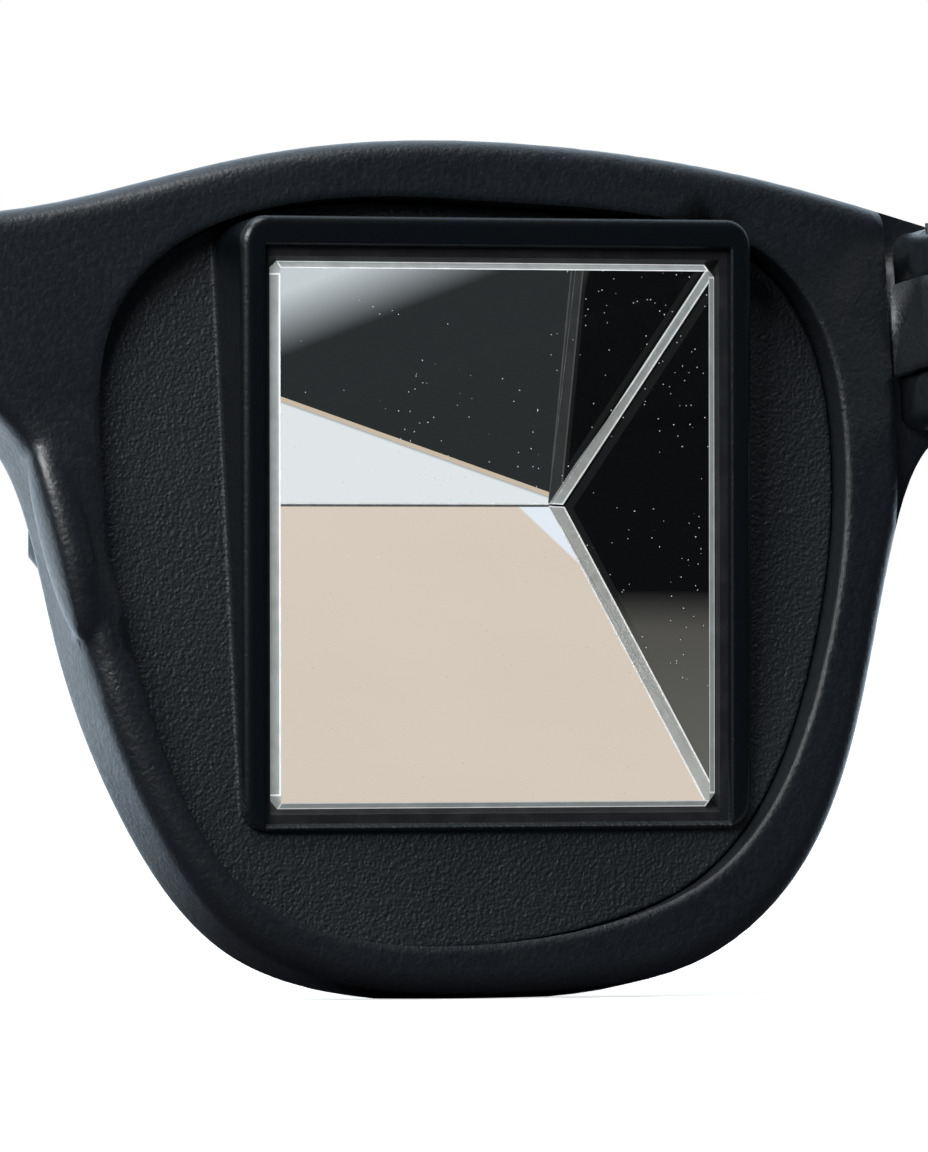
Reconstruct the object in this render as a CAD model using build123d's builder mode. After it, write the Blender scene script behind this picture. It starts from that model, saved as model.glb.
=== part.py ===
"""Prism bed glasses: a black moulded front with two blind eye panels, each holding a glass prism that
turns the line of sight down to a book, and two folding temples.

The wearer looks along -Y, +Z is up, and the wearer's right eye is on the -X side. The front leans forward
at its top by the pantoscopic angle, and the glasses stand on the feet of their rims and the tips of their
temples, at Z 0. The pieces of the right side are drawn once and mirrored for the left. Sizes are in
millimetres.
"""

import os
from math import atan2, cos, radians, sin, tan

from build123d import *

os.makedirs("parts", exist_ok=True)

# Front frame
eye_spacing = 78.0
rim_width = 3.9
front_thickness = 6.5
front_lean = 7.0
rear_edge_radius = 1.6
front_edge_radius = 1.0
bridge_top_dip = 5.4
bridge_depth = 11.4
end_piece_width = 5.75
end_corner_radius = 3.0
foot_flat_depth = 0.4
cut_overrun = 4.0

# Eye panel, seated in a pocket of the rim
panel_width = 54.8
panel_height = 50.2
panel_thickness = 2.8
panel_gap = 0.15
lip_width = 1.0
lip_thickness = 1.5

# Prism
prism_width = 33.3
prism_height = 37.4
prism_depth = 42.0
ridge_height_share = 0.56
prism_offset = 1.0
prism_lift = 1.95
prism_tilt = 6.8
prism_chamfer = 0.75
ridge_chamfer = 0.2
prism_recess = 0.7

# Collar round the prism, moulded on the rear of the panel
collar_side_wall = 1.6
collar_top_wall = 2.1
collar_bottom_wall = 0.6
collar_low_height = 0.6
collar_corner_radius = 1.8
collar_edge_radius = 0.6

# What holds and darkens the prism
gasket_thickness = 0.6
gasket_depth = 2.2
mirror_thickness = 0.3
mirror_margin = 1.2
mask_thickness = 0.2
mask_margin = 1.0
pad_width = 18.0
pad_length = 9.0
pad_corner_radius = 1.5

# Hood over the prism's far side, with a window in its lower face
hood_gap = 0.8
hood_wall = 1.0
hood_ridge_radius = 2.4
hood_edge_radius = 1.0
hood_corner_cut = 8.8
hood_corner_turn = 24.5
window_border = 1.4
window_start = 6.0
window_corner_radius = 1.5
tab_length = 3.6
tab_width = 4.6
tab_thickness = 1.2
tab_corner_radius = 1.2
tab_low_share = 0.36
tab_high_share = 0.76

# Screws of the hood
hood_screw_radius = 0.7
hood_screw_head_radius = 1.25
hood_screw_head_height = 0.8
hood_screw_bite = 1.8
screw_clearance = 0.03
slot_width = 0.4
slot_depth = 0.35

# Nose pads, moulded on the rims
nose_pad_length = 14.0
nose_pad_radius = 2.0
nose_pad_gap = 0.8
nose_pad_slant = 12.5
nose_pad_height_share = 0.53
nose_pad_sink = 1.05

# Hinge: a tongue on the end piece, between the two ears of the temple
hinge_setback = 4.4
hinge_inset = 1.3
tongue_radius = 1.9
tongue_height = 6.2
hinge_gap = 0.15
seat_depth = 1.0
seat_clearance = 0.35
hinge_screw_radius = 0.8
hinge_screw_clearance = 0.05
hinge_screw_cover = 0.6
hinge_head_radius = 1.15
hinge_head_height = 0.8

# Temple
temple_length = 146.0
temple_thickness = 4.8
temple_seam = 0.3
temple_corner_radius = 1.2
root_height = 13.6
root_length = 8.0
root_bend_radius = 60.0
temple_fall = 7.5
hook_length = 34.0
hook_bend_radius = 26.0
tip_rise = 1.8
tip_edge_radius = 1.0

# Outline of the right panel seen from behind, in shares of its width and height from its centre, starting
# at the top and going round by the nose.
panel_outline_shares = [
    (0.0, 0.491),
    (-0.326, 0.458),
    (-0.42, 0.401),
    (-0.48, 0.318),
    (-0.501, 0.197),
    (-0.466, -0.139),
    (-0.408, -0.325),
    (-0.34, -0.432),
    (-0.225, -0.493),
    (-0.055, -0.51),
    (0.159, -0.478),
    (0.298, -0.412),
    (0.388, -0.303),
    (0.45, -0.152),
    (0.5, 0.189),
    (0.482, 0.305),
    (0.418, 0.41),
    (0.292, 0.465),
]

# Outer edge of the front round the right eye, in shares of the rim's outer half width and half height
# from the panel's centre: the top edge from the bridge outwards, and the lower edge back to the bridge.
rim_top_shares = [(-0.894, 0.856), (-0.505, 0.954), (0.0, 1.002), (0.539, 0.954)]
rim_low_shares = [
    (0.995, 0.039),
    (0.915, -0.28),
    (0.742, -0.703),
    (0.51, -0.912),
    (0.1, -0.995),
    (-0.285, -0.983),
    (-0.567, -0.883),
    (-0.798, -0.568),
    (-0.934, -0.15),
    (-0.997, 0.163),
    (-1.039, 0.267),
]
low_edge_pull_shares = (1.0, 1.0)
end_top_share = 0.79
end_low_share = 0.32
end_top_slope = 16.0

# Stations along the temple, in shares of its line, each with its thickness and its height as shares of
# the root's.
temple_station_shares = [
    (0.0, 1.0, 1.0),
    (0.05, 1.0, 1.0),
    (0.22, 0.93, 0.8),
    (0.46, 0.84, 0.67),
    (0.68, 0.77, 0.66),
    (0.86, 0.72, 0.76),
    (0.96, 0.68, 0.7),
    (1.0, 0.6, 0.5),
]

# The front plane lies on the rear face of the rims. Its x runs to the wearer's right, its y up the front
# from the rims' lowest point and its z to the rear.
lean = radians(front_lean)
front_lift = front_thickness * sin(lean) - foot_flat_depth
front_plane = Plane(origin=(0, 0, front_lift), x_dir=(-1, 0, 0), z_dir=(0, cos(lean), sin(lean)))
outward, upward, rearward = front_plane.x_dir, front_plane.y_dir, front_plane.z_dir
to_rear = Axis(front_plane.origin, rearward)

rim_half_width = panel_width / 2 + rim_width
rim_half_height = panel_height / 2 + rim_width
eye_centre = eye_spacing / 2
panel_front = lip_thickness - front_thickness
panel_rear = panel_front + panel_thickness
bridge_top = 2 * rim_half_height - bridge_top_dip
bridge_low = bridge_top - bridge_depth
end_outer = eye_centre + rim_half_width + end_piece_width
end_top = rim_half_height * (1 + end_top_share)
end_low = rim_half_height * (1 + end_low_share)
end_slope = radians(end_top_slope)

nose_slant = radians(nose_pad_slant)
nose_pad_out = eye_centre - panel_width / 2 - nose_pad_gap - nose_pad_radius
nose_pad_up = 2 * rim_half_height * nose_pad_height_share
nose_pad_plane = Plane(
    origin=front_plane.from_local_coords((nose_pad_out, nose_pad_up, -nose_pad_sink)),
    x_dir=upward * cos(nose_slant) - outward * sin(nose_slant),
    z_dir=rearward,
)

# The prism plane lies on the prism's rear face, with x and y as on the front and z to the rear. Its tilt
# brings the top of the prism nearer to the wearer.
tilt = radians(prism_tilt)
prism_out = eye_centre + prism_offset
prism_up = rim_half_height + prism_lift
prism_rise = (prism_height / 2 + gasket_thickness + collar_bottom_wall) * sin(tilt)
prism_back = panel_rear + collar_low_height + prism_rise - prism_recess
prism_plane = Plane(
    origin=front_plane.from_local_coords((prism_out, prism_up, prism_back)),
    x_dir=outward,
    z_dir=rearward * cos(tilt) - upward * sin(tilt),
)
to_eye = Axis(prism_plane.origin, prism_plane.z_dir)
side_plane = Plane(origin=prism_plane.origin, x_dir=prism_plane.y_dir, z_dir=outward)
sideways = Axis(prism_plane.origin, outward)
ridge_up = (ridge_height_share - 1 / 2) * prism_height
upper_slope = atan2(prism_height / 2 - ridge_up, prism_depth)
lower_slope = atan2(prism_height / 2 + ridge_up, prism_depth)
collar_width = prism_width + 2 * (gasket_thickness + collar_side_wall)
collar_top = prism_up + (prism_height / 2 + gasket_thickness + collar_top_wall) * cos(tilt)
collar_bottom = prism_up - (prism_height / 2 + gasket_thickness + collar_bottom_wall) * cos(tilt)
collar_up = (collar_top + collar_bottom) / 2
collar_length = collar_top - collar_bottom
collar_reach = panel_thickness + collar_low_height + 2 * prism_rise
hood_growth = hood_gap + hood_wall
window_length = prism_depth / cos(lower_slope) - window_start - window_border

# The hood's top plane has x outwards and y to the front.
hood_top_plane = Plane(origin=prism_plane.origin, x_dir=outward, z_dir=prism_plane.y_dir)
hood_side = -prism_width / 2 - hood_growth
hood_reach = prism_depth * (1 + 2 * hood_growth / prism_height)
hood_corner = [
    (hood_side + place * tan(radians(hood_corner_turn)), hood_reach - hood_corner_cut + place)
    for place in (-cut_overrun, hood_corner_cut + cut_overrun)
]
hood_corner.append((hood_corner[0][0], hood_corner[1][1]))

tab_face = front_plane.offset(panel_front - tab_thickness)
screw_places = [
    (
        prism_out + side * (prism_width / 2 + hood_growth + tab_length / 2),
        prism_up + (share - 1 / 2) * prism_height,
    )
    for side in (-1, 1)
    for share in (tab_low_share, tab_high_share)
]

# The hinge planes are square to the hinge axes, with x to the wearer's right and y to the front.
hinge_out = end_outer - temple_thickness + hinge_inset
hinge_up = (end_top + end_low) / 2
hinge_plane, left_hinge_plane = [
    Plane(
        origin=front_plane.from_local_coords((side * hinge_out, hinge_up, hinge_setback)),
        x_dir=outward,
        z_dir=upward,
    )
    for side in (1, -1)
]
seat_distance = hinge_setback + seat_depth
seat_edge = hinge_out - tongue_radius - seat_clearance
seat_width = end_outer - seat_edge + cut_overrun
slot_radius = tongue_radius + hinge_gap
slot_reach = hinge_inset + cut_overrun
screw_tip_plane = hinge_plane.offset(hinge_screw_cover - root_height / 2)
screw_head_plane = hinge_plane.offset(root_height / 2 - hinge_head_height)

# The temple's line runs from its butt through the bend behind the hinge and the bend over the ear.
temple_out = end_outer - temple_thickness / 2
root_start = front_plane.from_local_coords((temple_out, hinge_up, temple_seam - seat_depth))
root_end = front_plane.from_local_coords((temple_out, hinge_up, root_length))
temple_corners = [
    root_start,
    root_end,
    Vector(-temple_out, temple_length - hook_length, root_end.Z - temple_fall),
    Vector(-temple_out, temple_length, tip_rise),
]


def panel_points(growth=0):
    """Points of the right panel's outline, grown by a rim."""
    width, height = panel_width + 2 * growth, panel_height + 2 * growth
    return [
        (eye_centre + across * width, rim_half_height + up * height) for across, up in panel_outline_shares
    ]


def rim_points(shares):
    """Points of the front's outer edge, from shares of the rim's half width and half height."""
    return [
        (eye_centre + across * rim_half_width, rim_half_height + up * rim_half_height)
        for across, up in shares
    ]


def wedge(growth, start, end=None):
    """Corners of the prism's side, grown by a rim at its rear face with its slopes kept, from a depth
    start to its ridge or to a depth end, as (height, place to the rear)."""
    scale = 1 + 2 * growth / prism_height
    half, ridge, depth = scale * prism_height / 2, scale * ridge_up, scale * prism_depth
    top, bottom = [
        [edge + (ridge - edge) * place / depth for edge in (half, -half)] for place in (start, end or start)
    ]
    near = [(top[0], -start), (top[1], -start)]
    return near + ([(bottom[1], -end), (bottom[0], -end)] if end else [(ridge, -depth)])


def slope_plane(slope, side):
    """Plane on the upper (side 1) or lower (side -1) far face of the prism, at the middle of its length,
    with z away from the prism."""
    return Plane(
        origin=prism_plane.from_local_coords((0, (side * prism_height / 2 + ridge_up) / 2, -prism_depth / 2)),
        x_dir=outward,
        z_dir=prism_plane.y_dir * side * cos(slope) - prism_plane.z_dir * sin(slope),
    )


def write_pair(piece, name):
    """Writes the piece of the right side and its mirror image for the left, each as its own node."""
    left_piece = mirror(piece, about=Plane.YZ)
    piece.label, left_piece.label = f"right_{name}", f"left_{name}"
    export_step(piece, f"parts/right_{name}.step")
    export_step(left_piece, f"parts/left_{name}.step")


upper_plane, lower_plane = slope_plane(upper_slope, 1), slope_plane(lower_slope, -1)

# Front frame: half of the outline is drawn and rounded with its nose pad, then mirrored
with BuildPart() as front_frame:
    with BuildSketch(front_plane) as half_front:
        with BuildLine():
            top_edge = Spline(
                [(0, bridge_top), *rim_points(rim_top_shares), (end_outer, end_top)],
                tangents=[(1, 0), (cos(end_slope), -sin(end_slope))],
            )
            low_edge = Spline(
                [(end_outer, end_low), *rim_points(rim_low_shares), (0, bridge_low)],
                tangents=[(-1, 0), (-1, 0)],
                tangent_scalars=low_edge_pull_shares,
            )
            Line(top_edge @ 1, low_edge @ 0)
            Line(low_edge @ 1, top_edge @ 0)
        make_face()
        fillet(half_front.vertices().group_by(Axis.X)[-1], end_corner_radius)
    extrude(amount=-front_thickness)
    fillet(front_frame.faces().sort_by(to_rear)[-1].edges().sort_by(Axis.X)[:-1], rear_edge_radius)
    fillet(front_frame.faces().sort_by(to_rear)[0].edges().sort_by(Axis.X)[:-1], front_edge_radius)
    with BuildSketch(nose_pad_plane):
        with BuildLine():
            pad_curve = EllipticalCenterArc((0, 0), nose_pad_length / 2, nose_pad_radius, arc_size=180)
            Line(pad_curve @ 1, pad_curve @ 0)
        make_face()
    revolve(axis=Axis(nose_pad_plane.origin, nose_pad_plane.x_dir))
    mirror(about=Plane.YZ)

    # Pockets for the two panels, with a lip at the front
    with BuildSketch(front_plane.offset(cut_overrun)):
        with BuildLine():
            Spline(panel_points(panel_gap), periodic=True)
        make_face()
        with Locations((prism_out, collar_up)):
            RectangleRounded(
                collar_width + 2 * panel_gap, collar_length + 2 * panel_gap, collar_corner_radius + panel_gap
            )
        mirror(about=Plane.YZ)
    extrude(amount=-(front_thickness - lip_thickness + cut_overrun), mode=Mode.SUBTRACT)
    with BuildSketch(front_plane):
        with BuildLine():
            Spline(panel_points(-lip_width), periodic=True)
        make_face()
        mirror(about=Plane.YZ)
    extrude(amount=-(front_thickness + cut_overrun), mode=Mode.SUBTRACT)

    # Seats of the two temples, with a hinge tongue standing on each
    with BuildSketch(front_plane.offset(cut_overrun)):
        with Locations(*[(side * (seat_edge + seat_width / 2), hinge_up) for side in (1, -1)]):
            Rectangle(seat_width, 2 * (end_top - end_low))
    extrude(amount=-(cut_overrun + seat_depth), mode=Mode.SUBTRACT)
    with BuildSketch(hinge_plane, left_hinge_plane):
        Circle(tongue_radius)
        with Locations((0, (seat_distance + seat_depth) / 2)):
            Rectangle(2 * tongue_radius, seat_distance + seat_depth)
    extrude(amount=tongue_height / 2, both=True)
    with BuildSketch(hinge_plane, left_hinge_plane):
        Circle(hinge_screw_radius + hinge_screw_clearance)
    extrude(amount=tongue_height, both=True, mode=Mode.SUBTRACT)

    # Feet
    split(bisect_by=Plane.XY, keep=Keep.TOP)
front_frame.part.label = "front_frame"
export_step(front_frame.part, "parts/front_frame.step")

# Eye panel with the collar of the prism
with BuildPart() as eye_panel:
    with BuildSketch(front_plane.offset(panel_rear - panel_thickness / 2)):
        with Locations((prism_out, collar_up)):
            RectangleRounded(collar_width, collar_length, collar_corner_radius)
    extrude(amount=collar_reach)
    split(bisect_by=prism_plane.offset(prism_recess), keep=Keep.BOTTOM)
    fillet(eye_panel.faces().sort_by(to_eye)[-1].edges(), collar_edge_radius)
    with BuildSketch(front_plane.offset(panel_front)):
        with BuildLine():
            Spline(panel_points(), periodic=True)
        make_face()
    extrude(amount=panel_thickness)
    with BuildSketch(side_plane):
        with BuildLine():
            Polyline(*wedge(gasket_thickness, -(prism_recess + cut_overrun)), close=True)
        make_face()
    extrude(amount=prism_width / 2 + gasket_thickness, both=True, mode=Mode.SUBTRACT)
    with BuildSketch(front_plane.offset(panel_front)):
        with Locations(*screw_places):
            Circle(hood_screw_radius)
    extrude(amount=hood_screw_bite, mode=Mode.SUBTRACT)
write_pair(eye_panel.part, "eye_panel")

# Prism of optical glass, with all its edges chamfered, the ridge least
with BuildPart() as prism:
    with BuildSketch(side_plane):
        with BuildLine():
            Polyline(*wedge(0, 0), close=True)
        make_face()
    extrude(amount=prism_width / 2, both=True)
    chamfer(prism.edges().sort_by(to_eye)[1:], prism_chamfer)
    chamfer(prism.edges().sort_by(to_eye)[0], ridge_chamfer)
write_pair(prism.part, "prism")

# Gasket between the prism and its collar
with BuildPart() as prism_gasket:
    with BuildSketch(side_plane):
        with BuildLine():
            Polyline(*wedge(gasket_thickness, 0, gasket_depth), close=True)
        make_face()
    extrude(amount=prism_width / 2 + gasket_thickness, both=True)
    with BuildSketch(side_plane):
        with BuildLine():
            Polyline(*wedge(0, -cut_overrun), close=True)
        make_face()
    extrude(amount=prism_width / 2, both=True, mode=Mode.SUBTRACT)
write_pair(prism_gasket.part, "prism_gasket")

# Mirror on the upper far face of the prism
with BuildPart() as prism_mirror:
    with BuildSketch(upper_plane):
        Rectangle(
            prism_width - 2 * mirror_margin,
            prism_depth / cos(upper_slope) - 2 * (gasket_depth + mirror_margin),
        )
    extrude(amount=mirror_thickness)
write_pair(prism_mirror.part, "prism_mirror")

# Soft pad in the roof of the hood, which presses the prism into its gasket
with BuildPart() as retaining_pad:
    with BuildSketch(upper_plane.offset(mirror_thickness)):
        RectangleRounded(pad_width, pad_length, pad_corner_radius)
    extrude(amount=hood_gap * cos(upper_slope) - mirror_thickness)
write_pair(retaining_pad.part, "retaining_pad")

# Black masks on the two sides of the prism
with BuildPart() as side_masks:
    for side in (1, -1):
        with BuildSketch(side_plane.offset(side * prism_width / 2)):
            with BuildLine():
                Polyline(*wedge(-mask_margin, gasket_depth + mask_margin), close=True)
            make_face()
        extrude(amount=side * mask_thickness)
write_pair(side_masks.part, "side_masks")

# Hood over the far side of the prism, open at its lower face, with its corner towards the nose cut off
with BuildPart() as prism_hood:
    with BuildSketch(side_plane):
        with BuildLine():
            Polyline(*wedge(hood_growth, -cut_overrun), close=True)
        make_face()
    extrude(amount=prism_width / 2 + hood_growth, both=True)
    fillet(prism_hood.edges().sort_by(to_eye)[0], hood_ridge_radius)
    for end in (0, -1):
        fillet(prism_hood.faces().sort_by(sideways)[end].edges().sort_by(to_eye)[:-1], hood_edge_radius)
    split(bisect_by=front_plane.offset(panel_front), keep=Keep.BOTTOM)
    with BuildSketch(front_plane.offset(panel_front)):
        with Locations(*screw_places):
            RectangleRounded(tab_length + 2 * hood_wall, tab_width, tab_corner_radius)
    extrude(amount=-tab_thickness)
    with BuildSketch(side_plane):
        with BuildLine():
            Polyline(*wedge(hood_gap, -cut_overrun), close=True)
        make_face()
    extrude(amount=prism_width / 2 + hood_gap, both=True, mode=Mode.SUBTRACT)
    with BuildSketch(lower_plane):
        with Locations((0, (window_border - window_start) / 2)):
            RectangleRounded(prism_width - 2 * window_border, window_length, window_corner_radius)
    extrude(amount=hood_growth + cut_overrun, mode=Mode.SUBTRACT)
    with BuildSketch(tab_face):
        with Locations(*screw_places):
            Circle(hood_screw_radius + screw_clearance)
    extrude(amount=tab_thickness, mode=Mode.SUBTRACT)
    with BuildSketch(hood_top_plane):
        with BuildLine():
            Polyline(*hood_corner, close=True)
        make_face()
    extrude(amount=prism_height / 2, both=True, mode=Mode.SUBTRACT)
write_pair(prism_hood.part, "prism_hood")

# Screws that hold the hood's tabs to the panel
with BuildPart() as hood_screws:
    with BuildSketch(tab_face):
        with Locations(*screw_places):
            Circle(hood_screw_head_radius)
    extrude(amount=-hood_screw_head_height)
    with BuildSketch(tab_face):
        with Locations(*screw_places):
            Circle(hood_screw_radius)
    extrude(amount=tab_thickness + hood_screw_bite)
    with BuildSketch(tab_face.offset(-hood_screw_head_height)):
        with Locations(*screw_places):
            Rectangle(slot_width, 2 * hood_screw_head_radius)
    extrude(amount=slot_depth, mode=Mode.SUBTRACT)
write_pair(hood_screws.part, "hood_screws")

# Temple: a root with two ears round the hinge tongue, a slim arm and a hook behind the ear
with BuildPart() as temple:
    with BuildLine() as temple_path:
        FilletPolyline(*temple_corners, radius=[root_bend_radius, hook_bend_radius])
    line = temple_path.wires()[0]
    for share, thickness_share, height_share in temple_station_shares:
        with BuildSketch(Plane(origin=line @ share, x_dir=outward, z_dir=line % share)):
            RectangleRounded(
                temple_thickness * thickness_share, root_height * height_share, temple_corner_radius
            )
    loft()
    fillet(temple.faces().sort_by(Axis.Y)[-1].edges(), tip_edge_radius)
    split(bisect_by=Plane.XY, keep=Keep.TOP)

    # Slot that lets the tongue swing from behind the root to beside it, and the screw's stepped hole
    with BuildSketch(hinge_plane):
        Circle(slot_radius)
        with Locations(((slot_radius - slot_reach) / 2, (seat_distance + cut_overrun) / 2)):
            Rectangle(slot_radius + slot_reach, seat_distance + cut_overrun)
        with Locations((-slot_reach / 2, -slot_radius / 2)):
            Rectangle(slot_reach, slot_radius)
    extrude(amount=tongue_height / 2 + hinge_gap, both=True, mode=Mode.SUBTRACT)
    with BuildSketch(screw_tip_plane):
        Circle(hinge_screw_radius)
    extrude(amount=root_height, mode=Mode.SUBTRACT)
    with BuildSketch(screw_head_plane):
        Circle(hinge_head_radius)
    extrude(amount=cut_overrun, mode=Mode.SUBTRACT)
write_pair(temple.part, "temple")

# Hinge screw, with its slotted head sunk in the upper ear
with BuildPart() as hinge_screw:
    with BuildSketch(screw_tip_plane):
        Circle(hinge_screw_radius)
    extrude(amount=root_height - hinge_screw_cover - hinge_head_height)
    with BuildSketch(screw_head_plane):
        Circle(hinge_head_radius)
    extrude(amount=hinge_head_height)
    with BuildSketch(screw_head_plane.offset(hinge_head_height)):
        Rectangle(2 * hinge_head_radius, slot_width)
    extrude(amount=-slot_depth, mode=Mode.SUBTRACT)
write_pair(hinge_screw.part, "hinge_screw")
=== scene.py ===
"""Prism bed glasses: the looks of the moulded front, the glass prisms and the temples."""

from math import cos, pi, radians, sin

import bmesh
import bpy
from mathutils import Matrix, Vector


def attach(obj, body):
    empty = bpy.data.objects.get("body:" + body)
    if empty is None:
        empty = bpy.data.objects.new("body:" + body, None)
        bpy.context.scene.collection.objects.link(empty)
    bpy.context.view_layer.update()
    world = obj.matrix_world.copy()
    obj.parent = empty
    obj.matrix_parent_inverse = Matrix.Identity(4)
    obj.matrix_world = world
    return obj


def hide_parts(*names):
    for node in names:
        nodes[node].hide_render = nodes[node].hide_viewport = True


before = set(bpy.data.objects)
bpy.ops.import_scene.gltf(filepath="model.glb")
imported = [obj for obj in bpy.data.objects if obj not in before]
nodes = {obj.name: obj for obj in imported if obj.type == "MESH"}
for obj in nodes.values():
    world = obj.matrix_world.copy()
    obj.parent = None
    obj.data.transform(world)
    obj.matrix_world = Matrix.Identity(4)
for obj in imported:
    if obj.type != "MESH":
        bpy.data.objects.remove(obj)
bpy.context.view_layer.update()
MM = 0.001
SIDES = ("right", "left")

# Camera: the wearer's side of the right eye, turned 24.5 degrees towards the nose, level with the window
CAMERA_AZIMUTH = 155.5
CAMERA_DISTANCE = 1.05
CAMERA_TARGET = (-0.03592, 0.0, 0.0284)
FRAME_PIXELS = 928
PIXELS_PER_MM = 14.93
SENSOR_WIDTH = 36.0


def set_camera(azimuth, distance, target, width_seen):
    """A long lens that sees width_seen metres across at the target."""
    data = bpy.data.cameras.new("camera")
    camera = bpy.data.objects.new("camera", data)
    bpy.context.scene.collection.objects.link(camera)
    turn = radians(azimuth)
    back = Vector((sin(turn), -cos(turn), 0.0))
    camera.location = Vector(target) + back * distance
    camera.rotation_euler = back.to_track_quat("Z", "Y").to_euler()
    data.sensor_fit = "HORIZONTAL"
    data.sensor_width = SENSOR_WIDTH
    data.lens = SENSOR_WIDTH * distance / width_seen
    data.clip_start = 0.01
    data.clip_end = 200.0
    bpy.context.scene.camera = camera


set_camera(CAMERA_AZIMUTH, CAMERA_DISTANCE, CAMERA_TARGET, FRAME_PIXELS / PIXELS_PER_MM * MM)
bpy.context.scene.view_settings.view_transform = "Standard"

# The front leans forward at its top: its normal to the rear, and how far along it the panels' rear face lies
LEAN = radians(7.0)
LEAN_NORMAL = (0.0, cos(LEAN), sin(LEAN))
CLEAR_OF_COLLAR = 0.002


def rear_of_panel():
    """Height of the panel's rear face along the leaning normal, read clear of the collar."""
    panel = nodes["right_eye_panel"].data.vertices
    low = min(vert.co.x for vert in panel)
    outer = [vert.co for vert in panel if vert.co.x < low + CLEAR_OF_COLLAR]
    return max(spot.dot(Vector(LEAN_NORMAL)) for spot in outer)


PANEL_REAR = rear_of_panel()


# Small helpers for node trees
def tree_of(name):
    """A new material and its node tree, empty but for its output."""
    material = bpy.data.materials.new(name)
    material.use_nodes = True
    tree = material.node_tree
    tree.nodes.clear()
    tree.nodes.new("ShaderNodeOutputMaterial")
    return material, tree


def connect(tree, value, socket):
    """Links the value to the socket if it is one itself, and sets it there otherwise."""
    if isinstance(value, bpy.types.NodeSocket):
        tree.links.new(value, socket)
    else:
        socket.default_value = value


def add(tree, kind, inputs=None, **settings):
    """Adds a node, sets its properties, and sets or links its inputs by name or number."""
    node = tree.nodes.new(kind)
    for key, value in settings.items():
        setattr(node, key, value)
    for key, value in (inputs or {}).items():
        connect(tree, value, node.inputs[key])
    return node


def show(tree, surface):
    tree.links.new(surface, tree.nodes["Material Output"].inputs["Surface"])


def place_on(tree):
    """Object coordinates, in metres."""
    return add(tree, "ShaderNodeTexCoord").outputs["Object"]


def noise(tree, metres, scale, detail, distortion=0.0):
    inputs = {"Vector": metres, "Scale": scale, "Detail": detail, "Distortion": distortion}
    return add(tree, "ShaderNodeTexNoise", inputs).outputs["Fac"]


def blend_colours(tree, share, low, high):
    mix = add(tree, "ShaderNodeMix", {"Factor": share}, data_type="RGBA")
    for key, colour in (("A_Color", low), ("B_Color", high)):
        socket = next(each for each in mix.inputs if each.identifier == key)
        connect(tree, colour if isinstance(colour, bpy.types.NodeSocket) else (*colour, 1.0), socket)
    return next(each for each in mix.outputs if each.identifier == "Result_Color")


def remap(tree, value, low, high, to_low, to_high):
    inputs = {"Value": value, "From Min": low, "From Max": high, "To Min": to_low, "To Max": to_high}
    return add(tree, "ShaderNodeMapRange", inputs).outputs[0]


def compute(tree, operation, *values):
    return add(tree, "ShaderNodeMath", dict(enumerate(values)), operation=operation).outputs[0]


def bumped(tree, height, depth):
    return add(tree, "ShaderNodeBump", {"Height": height, "Distance": depth}).outputs[0]


def shaded(tree, inputs):
    return add(tree, "ShaderNodeBsdfPrincipled", inputs).outputs[0]


def glowing(tree, colour, strength=1.0):
    return add(tree, "ShaderNodeEmission", {"Color": colour, "Strength": strength}).outputs[0]


def mixed(tree, share, first, second):
    """The first surface where share is 0, the second where it is 1."""
    return add(tree, "ShaderNodeMixShader", {0: share, 1: first, 2: second}).outputs[0]


def summed(tree, first, second):
    return add(tree, "ShaderNodeAddShader", {0: first, 1: second}).outputs[0]


# Moulded plastics: a fine leathery grain, with softened edges
COLLAR_BLACK = (0.0022, 0.0038, 0.0052)
COLLAR_ROUGHNESS = 0.30
COLLAR_GRAIN_SHARE = 0.15
COLLAR_FADE = 0.0004
CREASE_STRETCH = 0.55


def grained_plastic(
    name, dark, light, roughness, grain, depth, edge, pebble=0.5, gloss=0.0, smooth_from=None
):
    """Black plastic with a leathery grain and softened edges. Where smooth_from gives a height above the
    leaning front, whatever stands higher is smoother and darker."""
    material, tree = tree_of(name)
    metres = place_on(tree)
    cells = add(
        tree, "ShaderNodeTexVoronoi", {"Vector": metres, "Scale": 1 / grain}, feature="SMOOTH_F1"
    ).outputs["Distance"]
    creases = noise(tree, metres, CREASE_STRETCH / grain, 4.0, 0.6)
    height = compute(tree, "MULTIPLY_ADD", cells, pebble, creases)
    clouds = noise(tree, metres, 90.0, 3.0)
    rounded = add(tree, "ShaderNodeBevel", {"Radius": edge}, samples=8).outputs[0]
    colour = blend_colours(tree, remap(tree, clouds, 0.3, 0.7, 0.0, 1.0), dark, light)
    rough = remap(tree, creases, 0.3, 0.7, roughness - 0.05, roughness + 0.07)
    strength = 1.0
    if smooth_from is not None:
        rise = add(
            tree, "ShaderNodeVectorMath", {0: metres, 1: LEAN_NORMAL}, operation="DOT_PRODUCT"
        ).outputs["Value"]
        grained = remap(tree, rise, smooth_from, smooth_from + COLLAR_FADE, 1.0, 0.0)
        colour = blend_colours(tree, grained, COLLAR_BLACK, colour)
        strength = remap(tree, grained, 0.0, 1.0, COLLAR_GRAIN_SHARE, 1.0)
        rough = remap(tree, grained, 0.0, 1.0, COLLAR_ROUGHNESS, roughness)
    bump = add(
        tree, "ShaderNodeBump", {"Height": height, "Distance": depth, "Strength": strength, "Normal": rounded}
    ).outputs[0]
    inputs = {"Base Color": colour, "Roughness": rough, "Normal": bump}
    show(tree, shaded(tree, {**inputs, "Coat Weight": gloss, "Coat Roughness": 0.3}))
    return material


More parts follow.
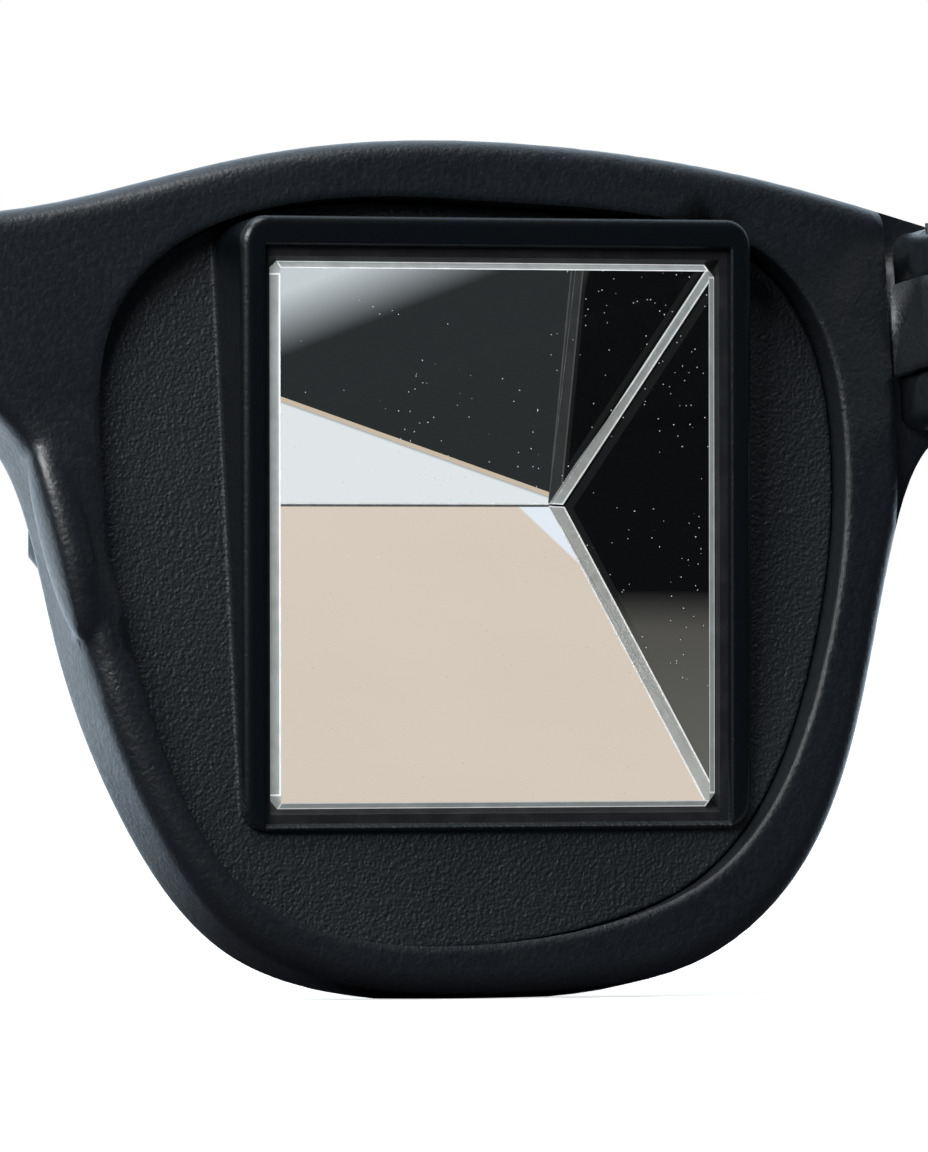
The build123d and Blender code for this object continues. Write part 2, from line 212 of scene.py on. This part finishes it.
def soft_rubber(name):
    material, tree = tree_of(name)
    dust = noise(tree, place_on(tree), 700.0, 5.0)
    dusty = remap(tree, dust, 0.45, 0.8, 0.0, 1.0)
    colour = blend_colours(tree, dusty, (0.006, 0.006, 0.007), (0.02, 0.02, 0.021))
    bump = bumped(tree, dust, 0.00004)
    show(tree, shaded(tree, {"Base Color": colour, "Roughness": 0.62, "Normal": bump}))
    return material


def turned_steel(name):
    material, tree = tree_of(name)
    turning = noise(tree, place_on(tree), 2600.0, 3.0)
    rough = remap(tree, turning, 0.3, 0.7, 0.26, 0.44)
    colour = blend_colours(tree, turning, (0.36, 0.37, 0.38), (0.55, 0.56, 0.57))
    bump = bumped(tree, turning, 0.00001)
    show(tree, shaded(tree, {"Base Color": colour, "Metallic": 1.0, "Roughness": rough, "Normal": bump}))
    return material


def coated_mirror(name):
    material, tree = tree_of(name)
    haze_and_painted_light = noise(tree, place_on(tree), 260.0, 6.0)
    rough = remap(tree, haze_and_painted_light, 0.4, 0.75, 0.03, 0.12)
    colour = blend_colours(tree, haze_and_painted_light, (0.78, 0.79, 0.8), (0.88, 0.89, 0.89))
    show(tree, shaded(tree, {"Base Color": colour, "Metallic": 1.0, "Roughness": rough}))
    return material


def flat_lacquer(name):
    material, tree = tree_of(name)
    brushed = noise(tree, place_on(tree), 500.0, 4.0)
    colour = blend_colours(tree, brushed, (0.004, 0.004, 0.0045), (0.012, 0.012, 0.012))
    bump = bumped(tree, brushed, 0.00003)
    show(tree, shaded(tree, {"Base Color": colour, "Roughness": 0.55, "Normal": bump}))
    return material


# Optical glass. The window refracts. The far faces carry painted views and painted reflections, which glow,
# and which differ by whether a ray meets them within the critical angle or beyond it, where real glass would
# reflect it all.
GLASS_INDEX = 1.52
TOTAL_REFLECTION = 0.6
CLEAR_GLASS = {"Base Color": (1.0, 1.0, 1.0, 1.0), "Transmission Weight": 1.0, "IOR": GLASS_INDEX}
DUST_SPACING = 0.00045
DUST_AMOUNT = 1.3
SPECK_SHARE = 0.09

# On the lower far face, across runs from the nose outwards and along from the window to the ridge
EDGE_SOFT = 0.004
# Where the painted cool sliver of light lies on the painted pale reflection
SLIVER_TURN = 0.376
SLIVER_EDGE = 1.305
# Where the painted white wedge and its warm painted line lie on the painted view
WEDGE_FALL = -0.23
WEDGE_EDGE = 0.760
WEDGE_RIM = 0.0035
# Where the painted pale light lies on the painted view, towards the window's upper corner
PAINTED_LIGHT_TURN = 0.276
PAINTED_LIGHT_START = 0.755
PAINTED_LIGHT_END = 0.862
# Where the painted grey light lies low down on the sides
PAINTED_GREY_TOP = 0.385
PAINTED_GREY_LOW = 0.30


def fresnel_share(tree):
    return add(tree, "ShaderNodeFresnel", {"IOR": GLASS_INDEX}).outputs[0]


def from_within(tree):
    return add(tree, "ShaderNodeNewGeometry").outputs["Backfacing"]


def far_face_place(tree):
    place = add(tree, "ShaderNodeUVMap", uv_map="far face").outputs[0]
    return add(tree, "ShaderNodeSeparateXYZ", {0: place}).outputs[:2]


def past(tree, value, edge):
    """0 before the edge and 1 past it, with a narrow ramp between."""
    return remap(tree, value, edge - EDGE_SOFT, edge + EDGE_SOFT, 0.0, 1.0)


def dust_share(tree, metres):
    """Where small specks of dust lie: 1 in a speck, 0 elsewhere. They gather in drifts."""
    spots = {"Vector": metres, "Scale": 1 / DUST_SPACING, "Randomness": 1.0}
    specks = add(tree, "ShaderNodeTexVoronoi", spots)
    near = compute(tree, "LESS_THAN", specks.outputs["Distance"], SPECK_SHARE)
    drifts = noise(tree, metres, 120.0, 2.0)
    picked = add(tree, "ShaderNodeSeparateColor", {0: specks.outputs["Color"]}).outputs[0]
    kept = compute(tree, "LESS_THAN", picked, remap(tree, drifts, 0.35, 0.7, 0.0, DUST_AMOUNT))
    return compute(tree, "MULTIPLY", near, kept)


def window_glass(name):
    """Polished face towards the eye, with a little dust on it; the dust specks glow, painted light on real
    dust.
    """
    material, tree = tree_of(name)
    metres = place_on(tree)
    smears = noise(tree, metres, 55.0, 5.0)
    glass = shaded(tree, {**CLEAR_GLASS, "Roughness": remap(tree, smears, 0.55, 0.8, 0.0, 0.015)})
    # Dust specks, which glow: painted light on the dust
    speck = shaded(
        tree,
        {
            "Base Color": (0.6, 0.62, 0.64, 1.0),
            "Roughness": 0.8,
            "Emission Color": (0.6, 0.64, 0.68, 1.0),
            "Emission Strength": 0.3,
        },
    )
    show(tree, mixed(tree, dust_share(tree, metres), glass, speck))
    return material


def far_glass(name, behind, beyond_critical=None):
    """Polished far face. From outside it is clear glass. From inside it shows a painted view of what lies
    behind it below the critical angle, which glows, and beyond that angle it reflects, or shows a glowing
    painted pale reflection of what it would reflect."""
    material, tree = tree_of(name)
    clear = shaded(tree, {**CLEAR_GLASS, "Roughness": 0.0})
    if beyond_critical:
        seen = beyond_critical(tree)
    else:
        mirror = {"Color": (0.97, 0.98, 0.98, 1.0), "Roughness": 0.0}
        seen = add(tree, "ShaderNodeBsdfAnisotropic", mirror).outputs[0]
    total = compute(tree, "GREATER_THAN", fresnel_share(tree), TOTAL_REFLECTION)
    show(tree, mixed(tree, from_within(tree), clear, mixed(tree, total, behind(tree), seen)))
    return material


def painted_pale_reflection(tree):
    """Painted reflection, which glows, for what the lower far face reflects: a plain pale surface, a little
    uneven, with a painted cool sliver of light at the end of the ridge."""
    uneven = noise(tree, place_on(tree), 40.0, 3.0)
    colour = blend_colours(tree, uneven, (0.655, 0.575, 0.485), (0.73, 0.65, 0.555))
    across, along = far_face_place(tree)
    # Painted cool sliver of light at the end of the ridge
    corner = compute(tree, "MULTIPLY_ADD", along, SLIVER_TURN, across)
    return glowing(tree, blend_colours(tree, past(tree, corner, SLIVER_EDGE), colour, (0.80, 0.87, 0.95)))


def painted_dark_view(tree):
    """Painted view out of the lower far face, which glows: deep grey, with painted pale light near the
    window's upper corner on the nose side, and a painted white wedge along the ridge with a warm painted line
    at its edge."""
    across, along = far_face_place(tree)
    fall = compute(tree, "MULTIPLY_ADD", across, WEDGE_FALL, along)
    # Painted pale light towards the window's upper corner on the nose side
    haze_and_painted_light = compute(tree, "MULTIPLY_ADD", across, PAINTED_LIGHT_TURN, along)
    pale = compute(tree, "POWER", remap(tree, haze_and_painted_light, PAINTED_LIGHT_START, PAINTED_LIGHT_END, 1.0, 0.0), 1.3)
    # Warm painted line of light along the edge of the painted white wedge
    rim = compute(tree, "COMPARE", fall, WEDGE_EDGE - EDGE_SOFT, WEDGE_RIM)
    colour = blend_colours(tree, pale, (0.024, 0.027, 0.028), (0.60, 0.65, 0.68))
    # Painted white wedge along the ridge
    colour = blend_colours(tree, past(tree, fall, WEDGE_EDGE), colour, (0.80, 0.84, 0.86))
    return glowing(tree, blend_colours(tree, rim, colour, (0.62, 0.52, 0.40)))


def ground_side(name, colour):
    """Side face behind black lacquer, drawn as a flat glow, with painted grey light low down."""
    material, tree = tree_of(name)
    height = far_face_place(tree)[1]
    # Painted grey light low down on the side, growing lighter towards the bottom
    painted_grey_light = compute(tree, "SMOOTH_MIN", remap(tree, height, PAINTED_GREY_TOP, PAINTED_GREY_LOW, 0.0, 1.0), 1.0, 0.3)
    fade = remap(tree, height, PAINTED_GREY_LOW, 0.0, 0.0, 1.0)
    low = blend_colours(tree, fade, (0.088, 0.086, 0.078), (0.130, 0.130, 0.120))
    show(tree, glowing(tree, blend_colours(tree, painted_grey_light, colour, low)))
    return material


def ground_edge(name, colour, glow):
    """Finely ground chamfer which glows: a painted silvery highlight from outside and at slanting angles from
    inside, dark head-on.
    """
    material, tree = tree_of(name)
    grinding = noise(tree, place_on(tree), 900.0, 4.0)
    bright = tuple(min(1.0, 1.25 * part) for part in colour)
    shade = blend_colours(tree, remap(tree, grinding, 0.3, 0.7, 0.0, 1.0), colour, bright)
    # The emission gives the chamfer its painted silvery highlight
    edge = shaded(
        tree,
        {
            "Base Color": shade,
            "Roughness": 0.34,
            "Emission Color": shade,
            "Emission Strength": glow,
            "Normal": bumped(tree, grinding, 0.00002),
        },
    )
    within_critical = compute(tree, "LESS_THAN", fresnel_share(tree), TOTAL_REFLECTION)
    head_on = compute(tree, "MULTIPLY", from_within(tree), within_critical)
    show(tree, mixed(tree, head_on, edge, glowing(tree, shade, 0.12)))
    return material


# Prisms: the solid's own faces, each with its own finish; the far faces, the sides and the ground edges glow
# with painted light. The numbers are places in PRISM_FINISHES.
WINDOW, LOWER, UPPER, SIDE, CHAMFER, LINE, BORDER = range(7)
PRISM_FINISHES = [
    window_glass("prism window"),
    far_glass("prism lower face", painted_dark_view, painted_pale_reflection),
    far_glass("prism upper face", painted_pale_reflection),
    ground_side("prism lacquered side", (0.003, 0.0032, 0.0033)),
    ground_edge("prism ground edge", (0.25, 0.27, 0.27), 0.65),
    ground_edge("prism edge line", (0.55, 0.57, 0.58), 0.8),
    ground_side("prism bare side border", (0.011, 0.012, 0.012)),
]
POLISH_SHARE = 0.9975
UPPER_BLACK = 0.18 * MM
EDGE_LINE = 0.12 * MM
SIDE_BORDER = 0.9 * MM
CHAMFER_AREA = 4 * MM * MM
CHAMFER_LENGTH = 10 * MM
SIDE_AREA = 100 * MM * MM


def inset(body, faces, thickness, finish):
    """Insets each face and gives the band round it a finish."""
    band = bmesh.ops.inset_individual(body, faces=faces, thickness=thickness, use_even_offset=True)
    for face in band["faces"]:
        face.material_index = finish


def map_faces(body, window, lower, outward):
    """Writes each corner's place on the lower far face, or its height on any other face."""
    low = min(vert.co.z for vert in window.verts)
    high = max(vert.co.z for vert in window.verts)
    middle = sum(vert.co.x for vert in window.verts) / len(window.verts)
    half = max(abs(vert.co.x - middle) for vert in window.verts)
    slope = sorted({round(vert.co.y, 5) for vert in lower.verts})
    places = body.loops.layers.uv.new("far face")
    for face in body.faces:
        for loop in face.loops:
            spot = loop.vert.co
            if face is lower:
                across = 0.5 + 0.5 * (spot.x - middle) * outward / half
                loop[places].uv = (across, (slope[-1] - spot.y) / (slope[-1] - slope[0]))
            else:
                loop[places].uv = (0.5, (spot.z - low) / (high - low))


def prism_body(side):
    """The prism of one side, a little smaller than its solid so that its finishes lie clear of what touches
    it, with a line inset on each of its ground chamfers."""
    body = bmesh.new()
    body.from_mesh(nodes[f"{side}_prism"].data)
    bmesh.ops.remove_doubles(body, verts=body.verts, dist=0.02 * MM)
    heart = sum((vert.co for vert in body.verts), Vector()) / len(body.verts)
    for vert in body.verts:
        vert.co = heart + (vert.co - heart) * POLISH_SHARE
    bmesh.ops.dissolve_limit(body, angle_limit=radians(0.5), verts=body.verts, edges=body.edges)
    bmesh.ops.recalc_face_normals(body, faces=body.faces)
    body.faces.ensure_lookup_table()
    mains = sorted(body.faces, key=lambda face: -face.calc_area())[:5]
    window = max(mains, key=lambda face: face.normal.y)
    upper = max(mains, key=lambda face: face.normal.z)
    lower = min(mains, key=lambda face: face.normal.z)
    kinds = {window: WINDOW, lower: LOWER, upper: UPPER}
    for face in body.faces:
        face.material_index = kinds.get(face, SIDE if face in mains else CHAMFER)
    map_faces(body, window, lower, -1 if side == "right" else 1)
    chamfers = [
        face
        for face in body.faces
        if face not in mains
        and face.calc_area() > CHAMFER_AREA
        and max(edge.calc_length() for edge in face.edges) > CHAMFER_LENGTH
    ]
    upper_far = [
        face for face in chamfers if face.normal.z > 0.2 and face.normal.y < 0 and abs(face.normal.x) > 0.3
    ]
    inset(body, upper_far, UPPER_BLACK, SIDE)
    inset(body, chamfers, EDGE_LINE, LINE)
    sides = [face for face in body.faces if face.material_index == SIDE and face.calc_area() > SIDE_AREA]
    inset(body, sides, SIDE_BORDER, BORDER)
    mesh = bpy.data.meshes.new(f"{side} glass prism")
    body.to_mesh(mesh)
    body.free()
    prism = bpy.data.objects.new(f"{side}_glass_prism", mesh)
    bpy.context.scene.collection.objects.link(prism)
    for material in PRISM_FINISHES:
        mesh.materials.append(material)
    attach(prism, "front")
    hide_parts(f"{side}_prism")


for side in SIDES:
    prism_body(side)

# Softer forms: the nose pads blend into the rims, and the temples' arms run straight
PAD_CENTRE = (8.8 * MM, 30.74 * MM, -1.05 * MM)
PAD_HALVES = (7.0 * MM, 2.0 * MM, 2.0 * MM)
PAD_SLANT = radians(12.5)
PAD_FLANK = -0.8 * MM
PAD_FLANK_SHARE = 0.35
PAD_SKIN = 0.04
PAD_REACH = 3.0 * MM
PAD_EASINGS = 4
FOOT_RISE = 0.392 * MM
ARM_START = 12 * MM
ARM_END = 112 * MM
ARM_STEPS = 25
ARM_SLICE = 3 * MM
ARM_ARCH = 1.2 * MM


def reworked(name, rework, rides="front"):
    """Takes the node's place with a merged copy of its mesh, after rework has changed it."""
    body = bmesh.new()
    body.from_mesh(nodes[name].data)
    bmesh.ops.remove_doubles(body, verts=body.verts, dist=0.001 * MM)
    rework(body)
    mesh = bpy.data.meshes.new(f"{name} soft")
    body.to_mesh(mesh)
    body.free()
    mesh.shade_smooth()
    mesh.set_sharp_from_angle(angle=radians(30))
    piece = bpy.data.objects.new(f"{name}_soft", mesh)
    bpy.context.scene.collection.objects.link(piece)
    evener = piece.modifiers.new("even shading", "WEIGHTED_NORMAL")
    evener.keep_sharp = True
    seen = piece.evaluated_get(bpy.context.evaluated_depsgraph_get())
    piece.data = bpy.data.meshes.new_from_object(seen)
    piece.modifiers.clear()
    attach(piece, rides)
    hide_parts(name)
    return piece


def on_pad(spot):
    """Place on a nose pad, along, across (towards the panel) and above its axis."""
    out = abs(spot.x) - PAD_CENTRE[0]
    up = -spot.y * sin(LEAN) + (spot.z - FOOT_RISE) * cos(LEAN) - PAD_CENTRE[1]
    above = spot.dot(Vector(LEAN_NORMAL)) - FOOT_RISE * sin(LEAN) - PAD_CENTRE[2]
    along = up * cos(PAD_SLANT) - out * sin(PAD_SLANT)
    across = out * cos(PAD_SLANT) + up * sin(PAD_SLANT)
    return along, across, above


def blend_pads(body):
    """Draws the outer flank of each nose pad in to its rim's edge and eases the creases round it."""
    near = []
    for vert in body.verts:
        along, across, above = on_pad(vert.co)
        share = (along / PAD_HALVES[0]) ** 2 + (across**2 + above**2) / PAD_HALVES[1] ** 2
        if abs(share - 1) < PAD_SKIN and across < PAD_FLANK:
            drawn = (PAD_FLANK - across) * (1 - PAD_FLANK_SHARE)
            vert.co.x += drawn * (1 if vert.co.x > 0 else -1)
        if share < (PAD_REACH / PAD_HALVES[1]) ** 2 and above > -0.5 * PAD_HALVES[2]:
            near.append(vert)
    for _ in range(PAD_EASINGS):
        bmesh.ops.smooth_vert(body, verts=near, factor=0.5, use_axis_x=True, use_axis_y=True, use_axis_z=True)


def straighten_arm(body):
    """Takes the wave out of a temple's arm between its root and the bend over the ear."""

    def middle(place):
        level = [vert.co.z for vert in body.verts if abs(vert.co.y - place) < ARM_SLICE]
        return (min(level) + max(level)) / 2

    places = [ARM_START + (ARM_END - ARM_START) * step / ARM_STEPS for step in range(ARM_STEPS + 1)]
    levels = [middle(place) for place in places]
    for vert in body.verts:
        share = (vert.co.y - ARM_START) / (ARM_END - ARM_START)
        if not 0 < share < 1:
            continue
        step = min(int(share * ARM_STEPS), ARM_STEPS - 1)
        rest = share * ARM_STEPS - step
        level = levels[step] * (1 - rest) + levels[step + 1] * rest
        wanted = levels[0] + (levels[-1] - levels[0]) * share + ARM_ARCH * sin(pi * share)
        vert.co.z += wanted - level


soft_front = reworked("front_frame", blend_pads)
soft_temples = [reworked(f"{side}_temple", straighten_arm, f"{side}_temple") for side in SIDES]

# Finishes of all pieces but the prisms
BODY = {"dark": (0.0045, 0.0068, 0.0092), "light": (0.0070, 0.0096, 0.0122)}
PANEL = {"dark": (0.0070, 0.0102, 0.0130), "light": (0.0106, 0.0144, 0.0176)}
COLLAR_START = 0.0003
finishes = {
    "front_frame": grained_plastic(
        "black moulded front", **BODY, roughness=0.42, grain=0.00028, depth=0.00006, edge=0.0010, gloss=0.5
    ),
    "eye_panel": grained_plastic(
        "pebbled black panel",
        **PANEL,
        roughness=0.55,
        grain=0.00023,
        depth=0.00010,
        edge=0.0004,
        pebble=0.8,
        smooth_from=PANEL_REAR + COLLAR_START,
    ),
    "prism_gasket": soft_rubber("black gasket rubber"),
    "prism_mirror": coated_mirror("vacuum coated mirror"),
    "retaining_pad": soft_rubber("black pad rubber"),
    "side_masks": flat_lacquer("flat black lacquer"),
    "prism_hood": grained_plastic(
        "black moulded hood", **BODY, roughness=0.42, grain=0.0005, depth=0.00006, edge=0.0004
    ),
    "hood_screws": turned_steel("turned hood screw"),
    "hinge_screw": turned_steel("turned hinge screw"),
    "temple": grained_plastic(
        "black moulded temple", **BODY, roughness=0.38, grain=0.0006, depth=0.00006, edge=0.0006, gloss=0.5
    ),
}
dressed = [*nodes.items(), ("front_frame", soft_front), *(("right_temple", arm) for arm in soft_temples)]
for name, piece in dressed:
    finish = finishes.get(name, finishes.get(name.split("_", 1)[1]))
    if finish:
        piece.data.materials.clear()
        piece.data.materials.append(finish)

# Stage: a pale floor, a white backdrop and soft lamps
FLOOR_HALF = 60.0
FLOOR_LIFT = 0.72
FLOOR_DIM_FROM, FLOOR_DIM_TO = -0.06, -0.012
WORLD_DIM_FROM, WORLD_DIM_TO = -0.45, 0.10
BACKDROP_LIGHT = (0.95, 1.16, 1.36)
ROOM_LIGHT = (0.026, 0.034, 0.044)
COOL_WHITE, WARM_WHITE = (0.93, 0.97, 1.0), (1.0, 0.99, 0.98)
CENTRE = (0.0, 0.03, 0.03)


def for_camera(tree, unseen, seen):
    """The second surface to camera rays, the first to all others."""
    return mixed(tree, add(tree, "ShaderNodeLightPath").outputs["Is Camera Ray"], unseen, seen)


def white_floor():
    """A pale floor: white to the camera but for the shadow. To all other rays it is painted darker on the
    wearer's side, as painted shade of the dim room, and glows bluish beyond the front, as painted light."""
    mesh = bpy.data.meshes.new("floor")
    corners = [(-1, -1), (1, -1), (1, 1), (-1, 1)]
    mesh.from_pydata([(FLOOR_HALF * x, FLOOR_HALF * y, 0) for x, y in corners], [], [(0, 1, 2, 3)])
    floor = bpy.data.objects.new("floor", mesh)
    bpy.context.scene.collection.objects.link(floor)
    material, tree = tree_of("pale floor")
    matt = add(tree, "ShaderNodeBsdfDiffuse", {"Color": (0.86, 0.86, 0.86, 1.0)}).outputs[0]
    lift = glowing(tree, (1.0, 1.0, 1.0, 1.0), FLOOR_LIFT)
    rearward = add(tree, "ShaderNodeSeparateXYZ", {0: place_on(tree)}).outputs[1]
    dim = remap(tree, rearward, FLOOR_DIM_FROM, FLOOR_DIM_TO, 0.0, 1.0)
    # Painted shade of the dim room on the wearer's side, for all but camera rays
    painted_room_shade = blend_colours(tree, dim, (0.9, 0.9, 0.9), (0.05, 0.05, 0.06))
    dull = add(tree, "ShaderNodeBsdfDiffuse", {"Color": painted_room_shade}).outputs[0]
    # Painted bluish light beyond the front, which glows for all but camera rays
    glow = glowing(tree, blend_colours(tree, dim, (0.45, 0.62, 0.78), (0.0, 0.0, 0.0)))
    show(tree, for_camera(tree, summed(tree, dull, glow), summed(tree, matt, lift)))
    mesh.materials.append(material)


def white_surroundings():
    """White to the camera; a bright backdrop beyond the front and a dim room on the wearer's side."""
    world = bpy.data.worlds.new("surroundings")
    bpy.context.scene.world = world
    world.use_nodes = True
    tree = world.node_tree
    tree.nodes.clear()
    output = tree.nodes.new("ShaderNodeOutputWorld")
    direction = add(tree, "ShaderNodeTexCoord").outputs["Generated"]
    rearward = add(tree, "ShaderNodeSeparateXYZ", {0: direction}).outputs[1]
    dim = remap(tree, rearward, WORLD_DIM_FROM, WORLD_DIM_TO, 0.0, 1.0)
    light = blend_colours(tree, dim, BACKDROP_LIGHT, ROOM_LIGHT)
    lit, white = (
        add(tree, "ShaderNodeBackground", {"Color": colour, "Strength": 1.0}).outputs[0]
        for colour in (light, (1.0, 1.0, 1.0, 1.0))
    )
    tree.links.new(for_camera(tree, lit, white), output.inputs["Surface"])


def soft_lamp(name, place, aim, size, watts, colour):
    data = bpy.data.lights.new(name, "AREA")
    data.shape = "SQUARE"
    data.size = size
    data.energy = watts
    data.color = colour
    lamp = bpy.data.objects.new(name, data)
    bpy.context.scene.collection.objects.link(lamp)
    lamp.location = place
    lamp.visible_camera = False
    lamp.rotation_euler = (Vector(place) - Vector(aim)).to_track_quat("Z", "Y").to_euler()


white_floor()
white_surroundings()
soft_lamp("overhead lamp", (0.2, 0.35, 1.6), CENTRE, size=1.0, watts=17.0, colour=COOL_WHITE)
soft_lamp("nose side lamp", (1.5, 0.75, 0.75), CENTRE, size=0.7, watts=12.0, colour=COOL_WHITE)
soft_lamp("near lamp", (0.13, 0.15, 0.17), (-0.01, 0.0, 0.045), size=0.11, watts=0.50, colour=WARM_WHITE)
